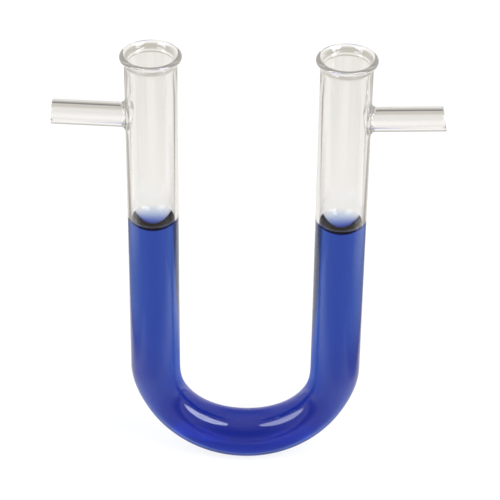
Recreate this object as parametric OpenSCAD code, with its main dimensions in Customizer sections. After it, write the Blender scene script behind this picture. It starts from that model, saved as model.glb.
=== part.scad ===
// U-form drying tube: one lampworked piece of borosilicate tubing with two fused
// side tubes, part filled with a dyed test liquid.
// Millimetres, +Z up. The origin is under the middle of the bend, at its lowest point.
// +X runs along the side tubes, from the left limb to the right limb.

/* [Tubing] */
// Outside diameter of the tubing
tube_od = 16; // [14:0.5:20]
// Wall thickness of the tubing
tube_wall = 1.2; // [1:0.1:1.6]
// Distance between the axes of the two limbs
limb_spacing = 58.6; // [54:0.2:80]
// Height of the rims above the lowest point of the bend
overall_h = 151.5; // [135:0.5:200]

/* [Bend] */
// How much larger the radius of the bottom arc is than that of the two corners
bottom_ease = 2.5; // [1:0.5:15]

/* [Mouths] */
// How far the rolled rim stands out from the tubing
rim_flare = 1.35; // [1.2:0.05:1.8]
// Radius of the roll at the rim's edge
roll_r = 0.9; // [0.8:0.05:1.1]
// Radius of the lead-in inside the rim
lead_in_r = 3; // [1.6:0.1:3.4]
// Radius of the hollow that blends the roll into the limb
rim_blend_r = 2.5; // [1.5:0.1:4]
// How far the stopper's seat is opened out from the bore, on the radius
seat_relief = 0.3; // [0.1:0.05:0.4]
// Depth from the rim to the lower end of the seat
seat_depth = 13; // [10:0.5:13.5]

/* [Side tubes] */
// Outside diameter of the side tubes
arm_od = 7.6; // [6:0.1:9]
// Bore of the side tubes
arm_bore = 5; // [3:0.1:5.4]
// Depth of a side tube's axis below the rims, where it meets its limb's axis
arm_drop = 21.4; // [21.2:0.1:45]
// Reach of a side tube's end from its limb's axis
arm_reach = 30.2; // [22:0.1:45]
// Upward tilt of the side tubes
arm_tilt = 1.8; // [0:0.1:5]
// Slant of the cut at the left-hand end, with the underside the longer
left_cut = 3; // [0:0.5:15]
// Slant of the cut at the right-hand end, with the underside the longer
right_cut = 10; // [0:0.5:15]
// How far each weld stands up over its side tube
weld_rise = 0.6; // [0.3:0.1:0.8]
// How far each weld runs out along its side tube
weld_run = 1.8; // [1.4:0.1:3]

/* [Liquid] */
// Height at which the liquid meets the glass
liquid_h = 94; // [60:0.5:105]
// Depth of the curved surface below that line
meniscus_depth = 3.5; // [1:0.1:4]

/* [Hidden] */
$fn = 96;

tube_r = tube_od / 2;
bore_r = tube_r - tube_wall;
limb_x = limb_spacing / 2;

// The bend is three tangent arcs on the tube's axis: a corner, the bottom and a corner.
// Each corner turns through the larger angle of a 7-24-25 triangle, so the seams between
// the arcs have short exact coordinates and meet face to face.
corner_cos = 7 / 25;
corner_sin = 24 / 25;
corner_angle = atan2(corner_sin, corner_cos);
corner_x = bottom_ease * corner_cos;
corner_r = limb_x - corner_x;
bottom_r = corner_r + bottom_ease;
bottom_z = tube_r + bottom_r;
bend_top = bottom_z - bottom_ease * corner_sin;
past_seam = 5;

// Centres in the rim's half section, measured out from the limb's axis and down from the rim
seat_r = bore_r + seat_relief;
seat_taper = 2;
mouth_base = -seat_depth - seat_taper;
roll_at = [tube_r + rim_flare - roll_r, -roll_r];
lead_in_at = [
    seat_r + lead_in_r,
    roll_at.y - sqrt(pow(lead_in_r - roll_r, 2) - pow(seat_r + lead_in_r - roll_at.x, 2))
];
blend_at = [
    tube_r + rim_blend_r,
    roll_at.y - sqrt(pow(rim_blend_r + roll_r, 2) - pow(tube_r + rim_blend_r - roll_at.x, 2))
];

arm_r = arm_od / 2;
arm_bore_r = arm_bore / 2;
weld_start = 0.6 * tube_r;
weld_end = tube_r + weld_run;
weld_foot_r = arm_r + (weld_end - weld_start) * weld_rise / weld_run;

meniscus_r = (pow(bore_r, 2) + pow(meniscus_depth, 2)) / (2 * meniscus_depth);

// A length of round bar bent to an arc, from angle start onwards, counted from +X towards -Z
module arc_bar(r, bend_r, start, turn)
    rotate([-90, start, 0])
        rotate_extrude(angle = turn)
            translate([bend_r, 0])
                circle(r);

// The right half of a solid bar of radius r along the axis of the U, up to height top
module half_bar(r, top) {
    reach = 2 * bottom_r;
    translate([limb_x, 0, bend_top])
        cylinder(r = r, h = top - bend_top);
    // Both arcs are made too long and cut off square at their seams
    translate([corner_x, 0, bend_top])
        difference() {
            arc_bar(r, corner_r, 0, corner_angle + past_seam);
            rotate([0, corner_angle, 0])
                translate([0, -tube_od, -reach])
                    cube([reach, 2 * tube_od, reach]);
        }
    translate([0, 0, bottom_z])
        intersection() {
            arc_bar(r, bottom_r, corner_angle, 90 - corner_angle + past_seam);
            translate([0, -tube_od, -reach])
                cube([reach, 2 * tube_od, reach]);
        }
}

// Points on an arc about centre c, without its first point, so that arcs can follow each other
function arc(c, r, from, to, steps) = [
    for (i = [1 : steps])
        let (a = from + (to - from) * i / steps)
            c + r * [cos(a), sin(a)]
];

// Half section of a mouth: the stopper's seat with the rolled rim on top of it
module mouth_section() {
    to_roll = roll_at - blend_at;
    from_lead_in = roll_at - lead_in_at;
    hollow_end = atan2(to_roll.y, to_roll.x);
    roll_end = atan2(from_lead_in.y, from_lead_in.x);
    polygon(concat(
        [[bore_r, mouth_base], [tube_r, mouth_base], [tube_r, blend_at.y]],
        arc(blend_at, rim_blend_r, 180, hollow_end, 4),
        arc(roll_at, roll_r, hollow_end - 180, 90, 8),
        arc(roll_at, roll_r, 90, roll_end, 4),
        arc(lead_in_at, lead_in_r, roll_end, 180, 4),
        [[seat_r, -seat_depth]]
    ));
}

// Places a side tube's own frame on its limb, with +Z out along the tube and +X down
module on_arm_axis()
    translate([limb_x, 0, overall_h - arm_drop])
        rotate([0, 90 - arm_tilt, 0])
            children();

// A solid side tube with its end cut at a slant, and the weld as a short cone down to the limb
module arm_outside(cut) {
    difference() {
        cylinder(r = arm_r, h = arm_reach + arm_r);
        translate([0, 0, arm_reach])
            rotate([0, -cut, 0])
                translate([-arm_od, -arm_od, 0])
                    cube([2 * arm_od, 2 * arm_od, arm_od]);
    }
    translate([0, 0, weld_start])
        cylinder(r1 = weld_foot_r, r2 = arm_r, h = weld_end - weld_start);
}

// The right half of the glass, from the middle of the bend to the rim
module half_glass(cut) {
    difference() {
        union() {
            half_bar(tube_r, overall_h + mouth_base);
            on_arm_axis()
                arm_outside(cut);
        }
        half_bar(bore_r, overall_h + mouth_base);
        on_arm_axis()
            cylinder(r = arm_bore_r, h = arm_reach + arm_od);
    }
    translate([limb_x, 0, overall_h])
        rotate_extrude()
            mouth_section();
}

module half_liquid()
    difference() {
        half_bar(bore_r, liquid_h + 1);
        translate([limb_x, 0, liquid_h - meniscus_depth + meniscus_r])
            sphere(meniscus_r);
    }

module glass_u_tube()
    color([0.88, 0.94, 0.95, 0.4]) {
        half_glass(right_cut);
        mirror([1, 0, 0])
            half_glass(left_cut);
    }

module blue_liquid()
    color([0.12, 0.2, 0.65]) {
        half_liquid();
        mirror([1, 0, 0])
            half_liquid();
    }

glass_u_tube();
blue_liquid();
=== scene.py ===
# A U-form drying tube: clear lampworked tubing, part filled with a blue dyed liquid
import math

import bmesh
import bpy
from mathutils import Euler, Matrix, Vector


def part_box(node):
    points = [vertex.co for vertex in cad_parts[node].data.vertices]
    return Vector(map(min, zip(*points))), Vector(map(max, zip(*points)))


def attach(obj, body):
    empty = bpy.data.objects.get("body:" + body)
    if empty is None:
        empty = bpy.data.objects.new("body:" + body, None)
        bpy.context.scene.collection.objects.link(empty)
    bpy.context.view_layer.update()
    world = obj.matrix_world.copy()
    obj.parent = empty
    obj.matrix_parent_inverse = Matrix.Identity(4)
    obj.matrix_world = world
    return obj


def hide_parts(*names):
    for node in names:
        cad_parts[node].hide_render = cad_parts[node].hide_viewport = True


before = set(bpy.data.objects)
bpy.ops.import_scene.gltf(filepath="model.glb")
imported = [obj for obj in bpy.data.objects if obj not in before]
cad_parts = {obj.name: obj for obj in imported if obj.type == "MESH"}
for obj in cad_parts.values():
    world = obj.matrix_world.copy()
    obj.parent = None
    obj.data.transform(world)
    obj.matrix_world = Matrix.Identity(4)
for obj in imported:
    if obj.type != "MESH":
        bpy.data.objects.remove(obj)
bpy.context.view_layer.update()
mm = 0.001
print("frame loaded")


def linear(hexColour):  # sRGB hex to the linear colour that Blender works in
    values = [int(hexColour[i:i + 2], 16) / 255 for i in (1, 3, 5)]
    return tuple(v / 12.92 if v <= 0.04045 else ((v + 0.055) / 1.055) ** 2.4 for v in values) + (1,)


def addNode(tree, kind, inputs=None, **settings):  # an input is a value, a socket, or a node to link from
    node = tree.nodes.new(kind)
    for name, value in settings.items():
        setattr(node, name, value)
    for name, value in (inputs or {}).items():
        if isinstance(value, bpy.types.Node):
            value = next(socket for socket in value.outputs if socket.enabled)
        if isinstance(value, bpy.types.NodeSocket):
            tree.links.new(value, node.inputs[name])
        else:
            node.inputs[name].default_value = value
    return node


def fromTo(spanMm):  # the two ends of a Map Range in millimetres, which falls if they are swapped
    return {"From Min": spanMm[0] * mm, "From Max": spanMm[1] * mm}


def patternScale(acrossMm, upMm):  # gives a pattern features of a real size, across the tube and up it
    return (1 / (acrossMm * mm), 1 / (acrossMm * mm), 1 / (upMm * mm))


def newMaterial(name):
    material = bpy.data.materials.new(name)
    material.use_nodes = True
    material.node_tree.nodes.clear()
    return material, material.node_tree


def meshObject(name, points, faces, materials, faceSlots=None):
    mesh = bpy.data.meshes.new(name)
    mesh.from_pydata([[c * mm for c in p] for p in points], [], faces)
    for material in materials:
        mesh.materials.append(material)
    if faceSlots:
        mesh.polygons.foreach_set("material_index", faceSlots)
    mesh.polygons.foreach_set("use_smooth", [True] * len(faces))
    mesh.update()
    piece = bpy.data.objects.new(name, mesh)
    bpy.context.scene.collection.objects.link(piece)
    return piece


cameraSetup = {
    "lensMm": 158.4,
    "aimAtMm": (1.07, 0, 81.6),
    "distanceMm": 693.5,
    "lookDownDeg": 34.33,
    "turnDeg": 0.81,
    "rollDeg": 0.74,
    "nearestMm": 10,         # nothing nearer to the camera than this is drawn
}


def addCamera():
    data = bpy.data.cameras.new("camera")
    data.lens = cameraSetup["lensMm"]
    data.clip_start = cameraSetup["nearestMm"] * mm
    camera = bpy.data.objects.new("camera", data)
    bpy.context.scene.collection.objects.link(camera)
    tilt = math.radians(90 - cameraSetup["lookDownDeg"])
    turn = Euler((tilt, 0, math.radians(cameraSetup["turnDeg"]))).to_matrix()
    roll = Euler((0, 0, math.radians(cameraSetup["rollDeg"]))).to_matrix()
    camera.rotation_euler = (turn @ roll).to_euler()
    back = turn @ Vector((0, 0, cameraSetup["distanceMm"]))
    camera.location = (Vector(cameraSetup["aimAtMm"]) + back) * mm
    bpy.context.scene.camera = camera


addCamera()
print("camera placed")


uForm = {
    "tubeR": 8.0,
    "wall": 1.2,
    "limbX": 29.3,
    "bottomEase": 2.5,       # how much larger the bottom arc's radius is than the corners'
    "waistDepth": 0.74,      # hand bending draws the tube in on each side of the bottom
    "waistAt": 0.33,         # where it is narrowest, from the limb (0) to the bottom (1)
    "columns": 120,          # faces round the tube
    "bendStepDeg": 1.5,      # between rings, as are the next two
    "limbStep": 3,
    "topStep": 1.5,          # above the welds
}
mouth = {
    "rimR": 9.35,
    "rollR": 0.9,
    "leadInR": 3.0,
    "hollowR": 2.5,          # of the hollow that blends the roll into the limb
    "arcStepDeg": 9,
    "seatR": 7.1,
    "seatDepth": 13.0,
    "seatSteps": 50,         # down the seat: every step to the 16th is used, and then every fourth
    "seatCoarseFrom": 16,
    "seatCoarse": 4,
    "neckDrop": 0.5,         # a faint ring stands in just under the lead-in, left by the flaring tool
    "neckRise": 0.2,
    "neckWidth": 0.28,
}
arm = {
    "outerR": 3.8,
    "boreR": 2.5,
    "z": 130.1,
    "reach": 30.2,
    "tiltDeg": 1.8,
    "leftCutDeg": 3,
    "rightCutDeg": 10,
    "weldR": 1.8,            # hollow fillet outside
    "innerWeldR": 1.0,
    "edgeR": 0.3,            # fire-polished edge
    "edgeStepDeg": 18,
    "flatSteps": 4,          # across the flat of the end
    "patchColumns": 16,      # half width of the patch round the weld, in columns
    "patchHalfHeight": 8.0,
    "patchRows": 24,
    "patchSteps": 6,         # from the patch's edge to the weld
    "weldSteps": 8,
    "rings": 22,
}
liquid = {
    "contactZ": 94.0,        # where its surface meets the glass
    "depth": 3.5,            # how far the surface curves down from there
    "intoGlass": 0.03,       # runs a hair into the glass, so that no film of air is left between them
    "surfaceRings": 24,
}

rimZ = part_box("glass_u_tube")[1].z / mm
boreR = uForm["tubeR"] - uForm["wall"]
cornerCos, cornerSin = 0.28, 0.96      # the corners turn through the larger angle of a 7-24-25 triangle
cornerDeg = math.degrees(math.atan2(cornerSin, cornerCos))
cornerX = uForm["bottomEase"] * cornerCos
cornerR = uForm["limbX"] - cornerX
bottomR = cornerR + uForm["bottomEase"]
bottomZ = uForm["tubeR"] + bottomR
bendTop = bottomZ - uForm["bottomEase"] * cornerSin
columnAngle = 2 * math.pi / uForm["columns"]
armSlope = math.tan(math.radians(arm["tiltDeg"]))
patchLow = arm["z"] - arm["patchHalfHeight"]
patchHigh = arm["z"] + arm["patchHalfHeight"]
patchRow = 2 * arm["patchHalfHeight"] / arm["patchRows"]
slack = 1e-6                           # for comparing heights


def spread(low, high, gap):  # evenly spaced values from low to high, both ends included
    count = max(1, round(abs(high - low) / gap))
    return [low + (high - low) * i / count for i in range(count + 1)]


def arcPoints(centre, r, start, end):  # the points of an arc after its first one
    count = max(2, round(abs(end - start) / mouth["arcStepDeg"]))
    angles = [math.radians(start + (end - start) * i / count) for i in range(1, count + 1)]
    return [(centre[0] + r * math.cos(a), centre[1] + r * math.sin(a)) for a in angles]


def waist(share):  # change of the radius along the bend, where share runs from the limb (0) to the bottom (1)
    at = uForm["waistAt"]
    if share < at:
        return -uForm["waistDepth"] * math.sin(math.pi / 2 * share / at) ** 2
    past = (share - at) / (1 - at)
    return -uForm["waistDepth"] * math.cos(math.pi / 2 * past) ** 2


# A station is a place on the tube's axis, the direction out of the U there, and the change of the radius
def limbStation(side, z):
    return (side * uForm["limbX"], z), (side, 0), 0


def bendStation(turn):  # turn in degrees, -90 at the left limb, 0 at the bottom, 90 at the right limb
    out = (math.sin(math.radians(turn)), -math.cos(math.radians(turn)))
    if abs(turn) <= 90 - cornerDeg:
        x, z, r = 0, bottomZ, bottomR
    else:
        x, z, r = math.copysign(cornerX, turn), bendTop, cornerR
    return (x + r * out[0], z + r * out[1]), out, waist(1 - abs(turn) / 90)


def uStations(heights):  # from the top of the left limb round the bend to the top of the right one
    stations = [limbStation(-1, z) for z in reversed(heights)]
    stations += [bendStation(turn) for turn in spread(-90, 90, uForm["bendStepDeg"])[1:-1]]
    stations += [limbStation(1, z) for z in heights]
    return stations


def ring(station, radius):
    (x, z), (outX, outZ), change = station
    r = radius + change
    points = []
    for j in range(uForm["columns"]):
        a = 2 * math.pi * j / uForm["columns"]
        points.append((x + r * math.cos(a) * outX, r * math.sin(a), z + r * math.cos(a) * outZ))
    return points


class Skin:  # points and faces of a piece as they are added
    def __init__(self):
        self.points, self.faces, self.slots = [], [], []

    def addPoints(self, points):  # gives back the points' numbers, which faces are made of
        start = len(self.points)
        self.points += points
        return list(range(start, len(self.points)))

    def addFace(self, corners, slot=0):
        self.faces.append(corners)
        self.slots.append(slot)

    def join(self, first, second, slot=0, skip=None):  # quads between two closed rings
        count = len(first)
        for j in range(count):
            if skip and skip(j):
                continue
            k = (j + 1) % count
            self.addFace((first[j], first[k], second[k], second[j]), slot)

    def finish(self, name, materials):  # drops points that no face uses, and turns every face outwards
        used = sorted({i for face in self.faces for i in face})
        newIndex = {old: new for new, old in enumerate(used)}
        points = [self.points[i] for i in used]
        faces = [tuple(newIndex[i] for i in face) for face in self.faces]
        piece = meshObject(name, points, faces, materials, self.slots)
        work = bmesh.new()
        work.from_mesh(piece.data)
        bmesh.ops.recalc_face_normals(work, faces=work.faces)
        work.to_mesh(piece.data)
        work.free()
        return piece


def mouthProfile():
    # (radius, height from the top of the rim) from the limb's outside over the rolled rim to the bore
    m = mouth
    roll = (m["rimR"] - m["rollR"], -m["rollR"])
    leadX = m["seatR"] + m["leadInR"]
    leadIn = (leadX, roll[1] - math.sqrt((m["leadInR"] - m["rollR"]) ** 2 - (leadX - roll[0]) ** 2))
    hollowX = uForm["tubeR"] + m["hollowR"]
    hollow = (hollowX, roll[1] - math.sqrt((m["hollowR"] + m["rollR"]) ** 2 - (hollowX - roll[0]) ** 2))
    toRoll = math.degrees(math.atan2(roll[1] - hollow[1], roll[0] - hollow[0]))
    rollEnd = math.degrees(math.atan2(roll[1] - leadIn[1], roll[0] - leadIn[0]))
    points = [(uForm["tubeR"], hollow[1])]
    points += arcPoints(hollow, m["hollowR"], 180, toRoll)
    points += arcPoints(roll, m["rollR"], toRoll - 180, 90)
    points += arcPoints(roll, m["rollR"], 90, rollEnd)
    points += arcPoints(leadIn, m["leadInR"], rollEnd, 180)
    steps = list(range(1, m["seatCoarseFrom"]))
    steps += range(m["seatCoarseFrom"], m["seatSteps"], m["seatCoarse"])
    for share in [i / m["seatSteps"] for i in steps]:
        z = leadIn[1] + (-m["seatDepth"] - leadIn[1]) * share
        fromNeck = (leadIn[1] - m["neckDrop"] - z) / m["neckWidth"]
        neck = m["neckRise"] * math.exp(-fromNeck ** 2)
        easing = (m["seatR"] - boreR) * (1 - share) ** 2      # the seat runs into the bore without an edge
        points.append((boreR + easing - neck, z))
    return points


def limbHeights(top):  # of the glass's rings on a limb: one is at the liquid's line, and the patch's are even
    heights = spread(bendTop, liquid["contactZ"], uForm["limbStep"])[:-1]
    heights += spread(liquid["contactZ"], patchLow, uForm["limbStep"])[:-1]
    heights += spread(patchLow, patchHigh, patchRow)
    heights += spread(patchHigh, top, uForm["topStep"])[1:]
    return heights


def uRings(skin, radius, top):  # each station along the glass with the numbers of its ring's points
    return [(station, skin.addPoints(ring(station, radius))) for station in uStations(limbHeights(top))]


def onPatch(stations, column):  # whether the patch round the weld takes the place of this bit of a limb
    facing = column < arm["patchColumns"] or column >= uForm["columns"] - arm["patchColumns"]
    onLimb = all(out[1] == 0 for place, out, change in stations)
    low, high = sorted(place[1] for place, out, change in stations)
    return facing and onLimb and low > patchLow - slack and high < patchHigh + slack


def patchPerimeter():  # (column, row) round the patch's edge, one way round
    w, h = arm["patchColumns"], arm["patchRows"]
    edge = [(j, 0) for j in range(-w, w)] + [(w, k) for k in range(h)]
    edge += [(j, h) for j in range(w, -w, -1)] + [(-w, k) for k in range(h, 0, -1)]
    return edge


def patchEdge(rings, side):  # the points of one limb's rings that lie on the patch's edge
    byRow = {}
    for (place, out, change), numbers in rings:
        row = (place[1] - patchLow) / patchRow
        if out == (side, 0) and -slack < row < arm["patchRows"] + slack:
            byRow[round(row)] = numbers
    return [byRow[k][j % uForm["columns"]] for j, k in patchPerimeter()]


def weldAngles():  # direction from the side tube's axis to each point of the patch's edge
    return [math.atan2(k * patchRow - arm["patchHalfHeight"], uForm["tubeR"] * j * columnAngle)
            for j, k in patchPerimeter()]


def weldRings(limbR, armR, weldR):
    # Closed rings from the edge of the patch across the limb to where the weld meets the side tube.
    # Each weld point lies on a ball of radius weldR that touches both the limb and the side tube.
    rings = [[] for _ in range(arm["patchSteps"] + arm["weldSteps"])]
    for (j, k), angle in zip(patchPerimeter(), weldAngles()):
        y, z = (armR + weldR) * math.cos(angle), (armR + weldR) * math.sin(angle)
        ball = Vector((math.sqrt((limbR + weldR) ** 2 - y ** 2), y, z))
        toLimb = -Vector((ball.x, ball.y, 0)).normalized()
        toArm = -Vector((0, math.cos(angle), math.sin(angle)))
        touch = ball + weldR * toLimb
        theta0, z0 = j * columnAngle, k * patchRow - arm["patchHalfHeight"]
        theta1, z1 = math.atan2(touch.y, touch.x), touch.z + armSlope * touch.x
        for i in range(1, arm["patchSteps"]):
            t = i / arm["patchSteps"]
            theta, height = theta0 + (theta1 - theta0) * t, z0 + (z1 - z0) * t
            rings[i - 1].append((limbR * math.cos(theta), limbR * math.sin(theta), height))
        for i in range(arm["weldSteps"] + 1):
            p = ball + weldR * toLimb.slerp(toArm, i / arm["weldSteps"])
            rings[arm["patchSteps"] - 1 + i].append((p.x, p.y, p.z + armSlope * p.x))
    return rings


def armProfile():
    # (offset from the end, radius, share of the way out) along the side tube, round its end and back down
    # its bore. A point on a wall has a share and no offset, and a point on the end an offset and no share.
    outerR, innerR, e = arm["outerR"], arm["boreR"], arm["edgeR"]
    quarter = [math.radians(a) for a in spread(0, 90, arm["edgeStepDeg"])]
    flat = outerR - innerR - 2 * e
    profile = [(None, outerR, t) for t in spread(0, 1, 1 / arm["rings"])[1:-1]]
    profile += [(-e + e * math.sin(a), outerR - e + e * math.cos(a), None) for a in quarter]
    profile += [(0, innerR + e + flat * t, None) for t in spread(1, 0, 1 / arm["flatSteps"])[1:-1]]
    profile += [(-e + e * math.cos(a), innerR + e - e * math.sin(a), None) for a in quarter]
    profile += [(None, innerR, t) for t in spread(1, 0, 1 / arm["rings"])[1:-1]]
    return profile


def armRings(cutDeg):
    cut = math.tan(math.radians(cutDeg))
    rings = []
    for offset, r, share in armProfile():
        limbR, weldR = boreR, arm["innerWeldR"]
        if r == arm["outerR"]:
            limbR, weldR = uForm["tubeR"], arm["weldR"]
        points = []
        for angle in weldAngles():
            end = arm["reach"] - cut * r * math.sin(angle)
            if share is None:
                x = end + offset
            else:
                start = math.sqrt((limbR + weldR) ** 2 - ((r + weldR) * math.cos(angle)) ** 2)
                x = start + (end - arm["edgeR"] - start) * share
            points.append((x, r * math.cos(angle), r * math.sin(angle) + armSlope * x))
        rings.append(points)
    return rings


def addMouth(skin, side, outerTop, innerTop):
    last = outerTop
    for r, z in mouthProfile()[1:-1]:
        loop = skin.addPoints(ring(limbStation(side, rimZ + z), r))
        skin.join(last, loop)
        last = loop
    skin.join(last, innerTop)


def addArm(skin, side, cutDeg, outer, inner):
    rings = weldRings(uForm["tubeR"], arm["outerR"], arm["weldR"])
    rings += armRings(cutDeg)
    rings += reversed(weldRings(boreR, arm["boreR"], arm["innerWeldR"]))
    chain = [patchEdge(outer, side)]
    for points in rings:
        placed = [(side * (uForm["limbX"] + x), y, arm["z"] + z) for x, y, z in points]
        chain.append(skin.addPoints(placed))
    chain.append(patchEdge(inner, side))
    for first, second in zip(chain, chain[1:]):
        skin.join(first, second)


def buildGlass(materials):  # the first material is dry, and the second is where the liquid wets the bore
    skin = Skin()
    profile = mouthProfile()
    outer = uRings(skin, uForm["tubeR"], rimZ + profile[0][1])
    inner = uRings(skin, boreR, rimZ + profile[-1][1])
    for rings, isBore in ((outer, False), (inner, True)):
        for (a, first), (b, second) in zip(rings, rings[1:]):
            wet = isBore and max(a[0][1], b[0][1]) < liquid["contactZ"] + slack
            skin.join(first, second, 1 if wet else 0, lambda column: onPatch((a, b), column))
    addMouth(skin, -1, outer[0][1], inner[0][1])
    addMouth(skin, 1, outer[-1][1], inner[-1][1])
    addArm(skin, -1, arm["leftCutDeg"], outer, inner)
    addArm(skin, 1, arm["rightCutDeg"], outer, inner)
    return skin.finish("uTubeGlass", materials)


def buildLiquid(materials):
    skin = Skin()
    radius = boreR + liquid["intoGlass"]
    stations = uStations(spread(bendTop, liquid["contactZ"], uForm["limbStep"]))
    rings = [skin.addPoints(ring(station, radius)) for station in stations]
    for first, second in zip(rings, rings[1:]):
        skin.join(first, second)
    wallFaces = len(skin.faces)
    bowlR = (radius ** 2 + liquid["depth"] ** 2) / (2 * liquid["depth"])
    for side, last in ((-1, rings[0]), (1, rings[-1])):
        for i in range(liquid["surfaceRings"] - 1, 0, -1):
            r = radius * math.sin(math.pi / 2 * i / liquid["surfaceRings"])
            z = liquid["contactZ"] - liquid["depth"] + bowlR - math.sqrt(bowlR ** 2 - r ** 2)
            loop = skin.addPoints(ring(limbStation(side, z), r))
            skin.join(last, loop)
            last = loop
        centre = skin.addPoints([(side * uForm["limbX"], 0, liquid["contactZ"] - liquid["depth"])])[0]
        for j, number in enumerate(last):
            skin.addFace((number, last[(j + 1) % len(last)], centre))
    piece = skin.finish("dyedLiquid", materials)
    # The glass's wetted faces bend the light where they meet the liquid, so only its open surface does here
    openFaces = len(skin.faces) - wallFaces
    ior = piece.data.attributes.new("interfaceIor", "FLOAT", "FACE")
    ior.data.foreach_set("value", [1.0] * wallFaces + [liquidLook["ior"]] * openFaces)
    return piece


glassLook = {
    "ior": 1.47,
    "clear": "#fdfefe",
    "clearest": "#ffffff",
    "streakMm": 1.6,           # the fine lengthwise lines that drawing leaves in tubing
    "streakLengthMm": 70,
    "streakDepthMm": 0.0016,
    "hazeMm": 9,               # patches of the faint haze that handling leaves
    "hazeSpan": (0.5, 0.75),   # of the noise, from where the haze begins to where it is full
    "haze": 0.012,
    "trappedDry": "#a8a5a0",   # painted light: the set glow that stands in for light the wall has mirrored to and fro
    "trappedWet": "#8d909e",
    "trappedFrom": 2.5,        # more times than this
}
liquidLook = {
    "ior": 1.333,
    "dye": "#90b7ea",
    "densityPerMetre": 332.0,
    "lowerTint": "#f5f1ff",      # the liquid is tinted a little deeper towards the bottom
    "lowerTintMm": (14, 66),     # fully so below the first height, and not at all above the second
    "swirlMm": 14,             # the tint also varies unevenly there
    "swirlLengthMm": 42,
    "swirlShare": 0.6,
}


def borosilicate(name, ior, trappedColour):
    # Drawn borosilicate tubing: clear and colourless, with faint draw lines that bend what shows through it
    material, tree = newMaterial(name)
    place = addNode(tree, "ShaderNodeTexCoord").outputs["Object"]
    streaks = addNode(tree, "ShaderNodeTexNoise", {
        "Vector": addNode(tree, "ShaderNodeVectorMath", {
            0: place,
            1: patternScale(glassLook["streakMm"], glassLook["streakLengthMm"]),
        }, operation="MULTIPLY"),
        "Scale": 1.0,
        "Detail": 2.0,
    })
    haze = addNode(tree, "ShaderNodeTexNoise", {
        "Vector": addNode(tree, "ShaderNodeVectorMath", {
            0: place,
            1: patternScale(glassLook["hazeMm"], glassLook["hazeMm"]),
        }, operation="MULTIPLY"),
        "Scale": 1.0,
        "Detail": 4.0,
    })
    shader = addNode(tree, "ShaderNodeBsdfPrincipled", {
        "Base Color": addNode(tree, "ShaderNodeMix", {
            "Factor": haze,
            "A": linear(glassLook["clear"]),
            "B": linear(glassLook["clearest"]),
        }, data_type="RGBA"),
        "Roughness": addNode(tree, "ShaderNodeMapRange", {
            "Value": haze,
            "From Min": glassLook["hazeSpan"][0],
            "From Max": glassLook["hazeSpan"][1],
            "To Min": 0.0,
            "To Max": glassLook["haze"],
        }),
        "IOR": ior,
        "Transmission Weight": 1.0,
        "Normal": addNode(tree, "ShaderNodeBump", {
            "Height": streaks,
            "Strength": 1.0,
            "Distance": glassLook["streakDepthMm"] * mm,
        }),
    })
    # Painted light: a renderer gives up light that stays caught between the wall's faces, so the glass glows
    # a set colour there in its place
    caught = addNode(tree, "ShaderNodeMath", {
        0: addNode(tree, "ShaderNodeLightPath").outputs["Glossy Depth"],
        1: glassLook["trappedFrom"],
    }, operation="GREATER_THAN")
    trapped = addNode(tree, "ShaderNodeEmission", {"Color": linear(trappedColour)})
    both = addNode(tree, "ShaderNodeMixShader", {"Fac": caught, 1: shader, 2: trapped})
    addNode(tree, "ShaderNodeOutputMaterial", {"Surface": both})
    return material


def dyedWater(name):
    # Dyed water: clear liquid with a violet-blue dye, so thick parts are deep blue and thin edges pale
    material, tree = newMaterial(name)
    place = addNode(tree, "ShaderNodeTexCoord").outputs["Object"]
    # Darker towards the bottom: the base colour is tinted a little there, and unevenly
    even = addNode(tree, "ShaderNodeMapRange", {
        "Value": addNode(tree, "ShaderNodeSeparateXYZ", {0: place}).outputs["Z"],
        **fromTo(liquidLook["lowerTintMm"]),
    }, interpolation_type="SMOOTHSTEP")
    lower = addNode(tree, "ShaderNodeMath", {0: 1.0, 1: even}, operation="SUBTRACT")
    swirl = addNode(tree, "ShaderNodeTexNoise", {
        "Vector": addNode(tree, "ShaderNodeVectorMath", {
            0: place,
            1: patternScale(liquidLook["swirlMm"], liquidLook["swirlLengthMm"]),
        }, operation="MULTIPLY"),
        "Scale": 1.0,
        "Detail": 2.0,
    })
    swirl = addNode(tree, "ShaderNodeMath", {0: swirl, 1: 0.5}, operation="SUBTRACT")
    swirl = addNode(tree, "ShaderNodeMath", {0: swirl, 1: lower}, operation="MULTIPLY")
    swirl = addNode(tree, "ShaderNodeMath", {0: swirl, 1: liquidLook["swirlShare"]}, operation="MULTIPLY")
    shader = addNode(tree, "ShaderNodeBsdfPrincipled", {
        "Base Color": addNode(tree, "ShaderNodeMix", {
            "Factor": addNode(tree, "ShaderNodeMath", {0: even, 1: swirl}, operation="ADD"),
            "A": linear(liquidLook["lowerTint"]),
            "B": (1, 1, 1, 1),
        }, data_type="RGBA"),
        "Roughness": 0.0,
        "IOR": addNode(tree, "ShaderNodeAttribute", attribute_name="interfaceIor").outputs["Fac"],
        "Transmission Weight": 1.0,
    })
    volume = addNode(tree, "ShaderNodeVolumeAbsorption", {
        "Color": linear(liquidLook["dye"]),
        "Density": liquidLook["densityPerMetre"],
    })
    addNode(tree, "ShaderNodeOutputMaterial", {"Surface": shader, "Volume": volume})
    return material


glassPiece = buildGlass([
    borosilicate("borosilicateDrawn", glassLook["ior"], glassLook["trappedDry"]),
    borosilicate("borosilicateWetted", glassLook["ior"] / liquidLook["ior"], glassLook["trappedWet"]),
])
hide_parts("glass_u_tube")
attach(glassPiece, "root")
print("glass built,", len(glassPiece.data.polygons), "faces")

liquidPiece = buildLiquid([dyedWater("dyedWater")])
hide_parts("blue_liquid")
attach(liquidPiece, "root")
print("liquid built,", len(liquidPiece.data.polygons), "faces")


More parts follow.
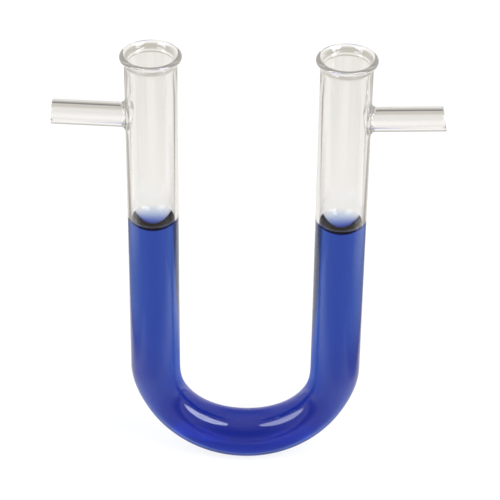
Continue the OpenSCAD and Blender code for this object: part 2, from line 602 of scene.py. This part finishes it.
floorLook = {
    "halfSizeMm": 3000,
    "dropMm": 0.2,             # how far it lies under the tube
    "shadowShare": 0.2,        # how much of the white comes from the lamps, and so takes the shadow
    "sheet": "#fdfaf6",        # the lit paper sheet under the tube
    "table": "#9a9186",        # the darker table beside and in front of the sheet
    "farWall": "#c6c0b7",
    "middleMm": -6,            # the sheet lies a little to the left
    "sideMm": (78, 96),        # over this span, out from the middle, the sheet ends
    "wallMm": (175, 130),      # and here the white side walls begin
    "fadeMm": (60, 220),       # towards the back the table turns paler
    "fadeShare": 0.25,
    "widerMm": 25,             # how much wider the sheet is towards the back
    "widerSpanMm": (60, 150),
    "frontMm": (-25, -85),     # in front the sheet ends over this span
    "tableMm": (-270, -150),   # and the table over this one
    "backMm": (140, 460),      # where the white turns to the grey of the far wall
    "paintedDyedShadow": "#7e84cc",    # painted shadow: the blue shade that light through the dyed liquid would cast on the paper
    "shadeAtMm": (0, 12),
    "shadeReachMm": (72, 66),
    "shadeSpan": (0.35, 1.0),  # of its reach, over which it fades out
}


def tableShare(tree, place):  # 0 on the sheet and a long way off, 1 on the table beside and in front of it
    along = addNode(tree, "ShaderNodeSeparateXYZ", {0: place}).outputs
    edges = {}
    for name in ("widerSpanMm", "fadeMm", "frontMm", "tableMm"):
        edges[name] = addNode(tree, "ShaderNodeMapRange", {
            "Value": along["Y"], **fromTo(floorLook[name]),
        }, interpolation_type="SMOOTHSTEP")
    wider = addNode(tree, "ShaderNodeMath", {
        0: edges["widerSpanMm"], 1: floorLook["widerMm"] * mm,
    }, operation="MULTIPLY")
    fromMiddle = addNode(tree, "ShaderNodeMath", {
        0: along["X"], 1: floorLook["middleMm"] * mm,
    }, operation="SUBTRACT")
    outward = addNode(tree, "ShaderNodeMath", {0: fromMiddle}, operation="ABSOLUTE")
    outward = addNode(tree, "ShaderNodeMath", {0: outward, 1: wider}, operation="SUBTRACT")
    for name in ("sideMm", "wallMm"):
        edges[name] = addNode(tree, "ShaderNodeMapRange", {
            "Value": outward, **fromTo(floorLook[name]),
        }, interpolation_type="SMOOTHSTEP")
    paler = addNode(tree, "ShaderNodeMath", {
        0: edges["fadeMm"], 1: floorLook["fadeShare"],
    }, operation="MULTIPLY")
    beside = addNode(tree, "ShaderNodeMath", {
        0: edges["sideMm"], 1: edges["wallMm"],
    }, operation="MULTIPLY")
    paler = addNode(tree, "ShaderNodeMath", {0: beside, 1: paler}, operation="MULTIPLY")
    beside = addNode(tree, "ShaderNodeMath", {0: beside, 1: paler}, operation="SUBTRACT")
    front = addNode(tree, "ShaderNodeMath", {
        0: edges["frontMm"], 1: edges["tableMm"],
    }, operation="MULTIPLY")
    return addNode(tree, "ShaderNodeMath", {0: beside, 1: front}, operation="MAXIMUM")


def shadeEdge(tree, place):  # 0 inside the oval of painted shadow on the paper, 1 beyond its soft edge
    (x, y), (reachX, reachY) = floorLook["shadeAtMm"], floorLook["shadeReachMm"]
    moved = addNode(tree, "ShaderNodeVectorMath", {
        0: place, 1: (-x * mm, -y * mm, 0),
    }, operation="ADD")
    scaled = addNode(tree, "ShaderNodeVectorMath", {
        0: moved, 1: (1 / (reachX * mm), 1 / (reachY * mm), 0),
    }, operation="MULTIPLY")
    return addNode(tree, "ShaderNodeMapRange", {
        "Value": addNode(tree, "ShaderNodeVectorMath", {0: scaled}, operation="LENGTH"),
        "From Min": floorLook["shadeSpan"][0],
        "From Max": floorLook["shadeSpan"][1],
    }, interpolation_type="SMOOTHSTEP")


def addFloor():
    # Matte white paper: an even, shadow-taking white that the glass sees end where the sheet ends, and a
    # painted blue shadow under the tube that only the glass shows
    material, tree = newMaterial("matteWhitePaper")
    place = addNode(tree, "ShaderNodeTexCoord").outputs["Object"]
    direct = addNode(tree, "ShaderNodeLightPath").outputs["Is Camera Ray"]
    atBack = addNode(tree, "ShaderNodeMapRange", {
        "Value": addNode(tree, "ShaderNodeSeparateXYZ", {0: place}).outputs["Y"],
        **fromTo(floorLook["backMm"]),
    }, interpolation_type="SMOOTHSTEP")
    seen = linear(floorLook["sheet"])
    for factor, colour in (
        (tableShare(tree, place), linear(floorLook["table"])),
        (atBack, linear(floorLook["farWall"])),
    ):
        seen = addNode(tree, "ShaderNodeMix", {"Factor": factor, "A": seen, "B": colour}, data_type="RGBA")
    # Painted shadow: a blue oval under the tube where the dyed liquid's shade would fall; the camera sees the
    # paper white there
    seen = addNode(tree, "ShaderNodeMix", {
        "Factor": shadeEdge(tree, place), "A": linear(floorLook["paintedDyedShadow"]), "B": seen,
    }, data_type="RGBA")
    seen = addNode(tree, "ShaderNodeMix", {"Factor": direct, "A": seen, "B": (1, 1, 1, 1)}, data_type="RGBA")
    glow = addNode(tree, "ShaderNodeEmission", {"Color": seen, "Strength": 1.0})
    paper = addNode(tree, "ShaderNodeBsdfDiffuse", {"Color": (1, 1, 1, 1)})
    share = addNode(tree, "ShaderNodeMath", {0: direct, 1: floorLook["shadowShare"]}, operation="MULTIPLY")
    both = addNode(tree, "ShaderNodeMixShader", {"Fac": share, 1: glow, 2: paper})
    addNode(tree, "ShaderNodeOutputMaterial", {"Surface": both})
    half, z = floorLook["halfSizeMm"], -floorLook["dropMm"]
    corners = [(-half, -half, z), (half, -half, z), (half, half, z), (-half, half, z)]
    floor = meshObject("paperFloor", corners, [(0, 1, 2, 3)], [material])


roomLook = {                   # colours by height, from the horizon (0) to straight above (1)
    "behind": (
        (0.0, "#c8c4bd"), (0.2, "#aaa69f"), (0.34, "#7c7a7a"),
        (0.6, "#807e7e"), (0.8, "#c6c3be"), (1.0, "#f8f6f2"),
    ),
    "sides": ((0.0, "#f2efea"), (0.25, "#d5d2cb"), (0.8, "#d3d0c9"), (1.0, "#f8f6f2")),
    "openSpan": (0.15, 0.6),   # how far to the side, as a share of the direction, the side walls take over
}


def addRoom():
    world = bpy.data.worlds.new("studio")
    bpy.context.scene.world = world
    world.use_nodes = True
    tree = world.node_tree
    tree.nodes.clear()
    direction = addNode(tree, "ShaderNodeTexCoord").outputs["Generated"]
    along = addNode(tree, "ShaderNodeSeparateXYZ", {0: direction}).outputs
    ramps = {}
    for name in ("behind", "sides"):
        ramps[name] = addNode(tree, "ShaderNodeValToRGB", {"Fac": along["Z"]})
        (lowest, lowColour), *between, (highest, highColour) = roomLook[name]
        stops = ramps[name].color_ramp.elements
        stops[0].position, stops[0].color = lowest, linear(lowColour)
        stops[1].position, stops[1].color = highest, linear(highColour)
        for height, colour in between:
            stops.new(height).color = linear(colour)
    toSide = addNode(tree, "ShaderNodeMapRange", {
        "Value": addNode(tree, "ShaderNodeMath", {0: along["X"]}, operation="ABSOLUTE"),
        "From Min": roomLook["openSpan"][0],
        "From Max": roomLook["openSpan"][1],
    }, interpolation_type="SMOOTHSTEP")
    colour = addNode(tree, "ShaderNodeMix", {
        "Factor": toSide, "A": ramps["behind"], "B": ramps["sides"],
    }, data_type="RGBA")
    room = addNode(tree, "ShaderNodeBackground", {"Color": colour, "Strength": 1.0})
    white = addNode(tree, "ShaderNodeBackground", {"Color": (1, 1, 1, 1), "Strength": 1.0})
    direct = addNode(tree, "ShaderNodeLightPath").outputs["Is Camera Ray"]
    both = addNode(tree, "ShaderNodeMixShader", {"Fac": direct, 1: room, 2: white})
    addNode(tree, "ShaderNodeOutputWorld", {"Surface": both})


lampSetup = {
    "placeMm": (690, -455, 600),   # of the right-hand lamp, and the left-hand one mirrors it
    "aimAtMm": (0, 0, 20),
    "sizeMm": (440, 1180),
    "rollDeg": 20,
    "leftPower": 9.0,
    "rightPower": 13.0,
    "colour": "#edf3ff",
}


def addSoftbox(name, side, power):
    x, y, z = lampSetup["placeMm"]
    place = Vector((side * x, y, z)) * mm
    data = bpy.data.lights.new(name, "AREA")
    data.shape = "ELLIPSE"
    data.size = lampSetup["sizeMm"][0] * mm
    data.size_y = lampSetup["sizeMm"][1] * mm
    data.energy = power
    data.color = linear(lampSetup["colour"])[:3]
    lamp = bpy.data.objects.new(name, data)
    bpy.context.scene.collection.objects.link(lamp)
    lamp.location = place
    facing = (Vector(lampSetup["aimAtMm"]) * mm - place).to_track_quat("-Z", "Y")
    roll = Euler((0, 0, side * math.radians(lampSetup["rollDeg"]))).to_quaternion()
    lamp.rotation_euler = (facing @ roll).to_euler()


addFloor()
addRoom()
addSoftbox("leftSoftbox", -1, lampSetup["leftPower"])
addSoftbox("rightSoftbox", 1, lampSetup["rightPower"])
print("floor, room and lamps set")

bpy.context.scene.view_settings.view_transform = "Standard"
